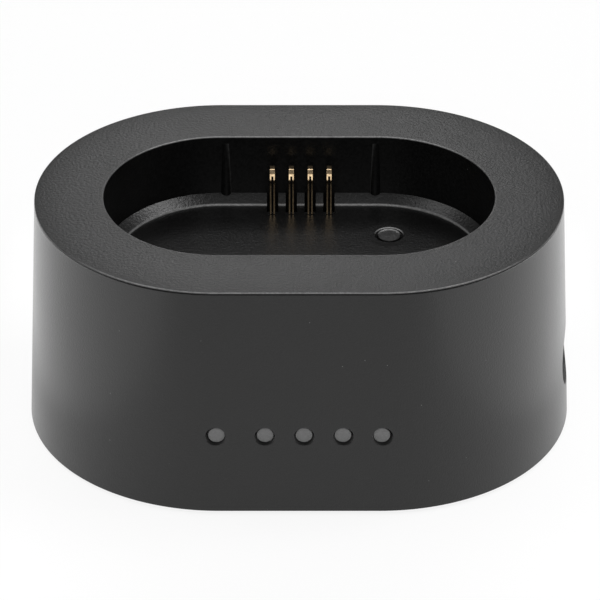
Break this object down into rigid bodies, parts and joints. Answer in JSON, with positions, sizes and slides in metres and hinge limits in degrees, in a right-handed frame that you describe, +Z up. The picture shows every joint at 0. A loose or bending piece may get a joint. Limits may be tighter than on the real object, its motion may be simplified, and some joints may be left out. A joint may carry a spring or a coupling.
{
  "type": "flash battery charger",
  "caption": "Oval desk charger for a camera flash battery, with a deep rounded bay, blade contacts at its back, indicator lights on the front wall and a round power inlet at one end.",
  "frame": {"origin": "centre of the footprint, on the surface that the charger stands on", "axes": "+X along the long side, towards the power inlet; the indicators face -Y; +Z up, out of the battery bay"},
  "size_m": [0.0856, 0.0608, 0.0392],
  "materials": {
    "case_plastic": "fine moulded texture",
    "foot_rubber": "matte",
    "screw_steel": "plated",
    "board_laminate": "solder mask",
    "part_plastic": "moulded",
    "contact_brass": "plated",
    "guide_plastic": "frosted",
    "lamp_plastic": "moulded",
    "can_aluminium": "drawn",
    "fuse_ceramic": "glazed"
  },
  "bodies": {
    "root": {"housing": "case_plastic", "top_cover": "case_plastic", "base_cover": "case_plastic", "foot_1": "foot_rubber", "foot_2": "foot_rubber", "foot_3": "foot_rubber", "foot_4": "foot_rubber", "base_screws": "screw_steel", "board_screws": "screw_steel", "main_board": "board_laminate", "contact_carrier": "part_plastic", "contact_1": "contact_brass", "contact_2": "contact_brass", "contact_3": "contact_brass", "contact_4": "contact_brass", "light_guide": "guide_plastic", "led_1": "lamp_plastic", "led_2": "lamp_plastic", "led_3": "lamp_plastic", "led_4": "lamp_plastic", "led_5": "lamp_plastic", "led_resistors": "part_plastic", "dc_jack": "part_plastic", "jack_pin": "contact_brass", "jack_spring": "screw_steel", "inductor": "part_plastic", "capacitor_1": "can_aluminium", "capacitor_2": "can_aluminium", "controller_chip": "part_plastic", "power_transistor": "part_plastic", "rectifier_diode": "part_plastic", "fuse": "fuse_ceramic"}
  },
  "joints": []
}
